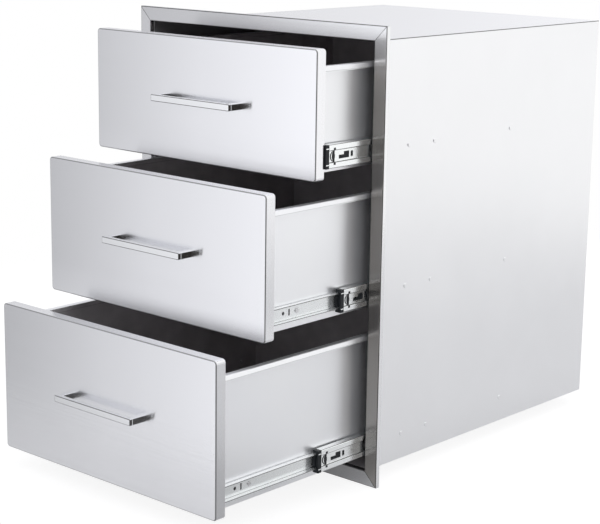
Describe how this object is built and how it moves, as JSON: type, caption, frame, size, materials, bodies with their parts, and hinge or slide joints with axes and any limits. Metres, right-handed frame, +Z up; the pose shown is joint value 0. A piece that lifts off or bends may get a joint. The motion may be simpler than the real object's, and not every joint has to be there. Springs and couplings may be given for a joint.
{
  "type": "outdoor kitchen drawer unit",
  "caption": "Built-in stainless steel outdoor kitchen drawer unit: trim frame, sheet carcass and stacked drawers on full-extension ball-bearing slides, with square bar handles.",
  "frame": {"origin": "at mid width, in the back plane of the trim frame where it meets the counter's front, at the height of the carcass underside", "axes": "+X to the right seen from the front, +Y into the counter, +Z up"},
  "size_m": [0.425, 0.769, 0.573],
  "materials": {
    "frame_steel": "brushed",
    "front_steel": "brushed across",
    "carcass_steel": "fine satin",
    "box_steel": "satin",
    "slide_zinc": "bright zinc plate",
    "cap_plastic": "moulded",
    "handle_chrome": "polished",
    "fixing_steel": "plain",
    "cage_steel": "plain"
  },
  "bodies": {
    "cabinet": {"frame_top": "frame_steel", "frame_bottom": "frame_steel", "frame_left": "frame_steel", "frame_right": "frame_steel", "carcass_top": "carcass_steel", "carcass_bottom": "carcass_steel", "carcass_left": "carcass_steel", "carcass_right": "carcass_steel", "carcass_back": "carcass_steel", "slide_outer_rivets": "fixing_steel", "slide_outer_1": "slide_zinc", "slide_outer_2": "slide_zinc", "slide_outer_3": "slide_zinc"},
    "drawer_1": {"front_pan_1": "front_steel", "front_liner_1": "front_steel", "front_rivets_1": "fixing_steel", "box_right_1": "box_steel", "box_left_1": "box_steel", "box_bottom_1": "box_steel", "box_back_1": "box_steel", "handle_1": "handle_chrome", "handle_fixings_1": "fixing_steel", "slide_inner_1": "slide_zinc", "slide_inner_rivets_1": "fixing_steel"},
    "mid_1": {"slide_mid_1": "slide_zinc", "slide_cap_1": "cap_plastic"},
    "outer_cage_1": {"outer_cage_1": "cage_steel"},
    "inner_cage_1": {"inner_cage_1": "cage_steel"},
    "drawer_2": {"front_pan_2": "front_steel", "front_liner_2": "front_steel", "front_rivets_2": "fixing_steel", "box_right_2": "box_steel", "box_left_2": "box_steel", "box_bottom_2": "box_steel", "box_back_2": "box_steel", "handle_2": "handle_chrome", "handle_fixings_2": "fixing_steel", "slide_inner_2": "slide_zinc", "slide_inner_rivets_2": "fixing_steel"},
    "mid_2": {"slide_mid_2": "slide_zinc", "slide_cap_2": "cap_plastic"},
    "outer_cage_2": {"outer_cage_2": "cage_steel"},
    "inner_cage_2": {"inner_cage_2": "cage_steel"},
    "drawer_3": {"front_pan_3": "front_steel", "front_liner_3": "front_steel", "front_rivets_3": "fixing_steel", "box_right_3": "box_steel", "box_left_3": "box_steel", "box_bottom_3": "box_steel", "box_back_3": "box_steel", "handle_3": "handle_chrome", "handle_fixings_3": "fixing_steel", "slide_inner_3": "slide_zinc", "slide_inner_rivets_3": "fixing_steel"},
    "mid_3": {"slide_mid_3": "slide_zinc", "slide_cap_3": "cap_plastic"},
    "outer_cage_3": {"outer_cage_3": "cage_steel"},
    "inner_cage_3": {"inner_cage_3": "cage_steel"}
  },
  "joints": [
    {"name": "outer_stage_1", "type": "slide", "parent": "cabinet", "child": "mid_1", "axis": [0, -1, 0], "range_m": [-0.097, 0.128]},
    {"name": "inner_stage_1", "type": "slide", "parent": "mid_1", "child": "drawer_1", "axis": [0, -1, 0], "range_m": [0, 0.225]},
    {"name": "outer_cage_slide_1", "type": "slide", "parent": "cabinet", "child": "outer_cage_1", "axis": [0, -1, 0], "range_m": [-0.0485, 0.064]},
    {"name": "inner_cage_slide_1", "type": "slide", "parent": "mid_1", "child": "inner_cage_1", "axis": [0, -1, 0], "range_m": [0, 0.1125]},
    {"name": "outer_stage_2", "type": "slide", "parent": "cabinet", "child": "mid_2", "axis": [0, -1, 0], "range_m": [-0.0654, 0.1596]},
    {"name": "inner_stage_2", "type": "slide", "parent": "mid_2", "child": "drawer_2", "axis": [0, -1, 0], "range_m": [-0.1146, 0.1104]},
    {"name": "outer_cage_slide_2", "type": "slide", "parent": "cabinet", "child": "outer_cage_2", "axis": [0, -1, 0], "range_m": [-0.0327, 0.0798]},
    {"name": "inner_cage_slide_2", "type": "slide", "parent": "mid_2", "child": "inner_cage_2", "axis": [0, -1, 0], "range_m": [-0.0573, 0.0552]},
    {"name": "outer_stage_3", "type": "slide", "parent": "cabinet", "child": "mid_3", "axis": [0, -1, 0], "range_m": [-0.1014, 0.1236]},
    {"name": "inner_stage_3", "type": "slide", "parent": "mid_3", "child": "drawer_3", "axis": [0, -1, 0], "range_m": [-0.1576, 0.0674]},
    {"name": "outer_cage_slide_3", "type": "slide", "parent": "cabinet", "child": "outer_cage_3", "axis": [0, -1, 0], "range_m": [-0.0507, 0.0618]},
    {"name": "inner_cage_slide_3", "type": "slide", "parent": "mid_3", "child": "inner_cage_3", "axis": [0, -1, 0], "range_m": [-0.0788, 0.0337]}
  ],
  "couplings": [
    {"joint": "outer_cage_slide_1", "follows": "outer_stage_1", "ratio": 0.5},
    {"joint": "inner_cage_slide_1", "follows": "inner_stage_1", "ratio": 0.5},
    {"joint": "outer_cage_slide_2", "follows": "outer_stage_2", "ratio": 0.5},
    {"joint": "inner_cage_slide_2", "follows": "inner_stage_2", "ratio": 0.5},
    {"joint": "outer_cage_slide_3", "follows": "outer_stage_3", "ratio": 0.5},
    {"joint": "inner_cage_slide_3", "follows": "inner_stage_3", "ratio": 0.5}
  ]
}
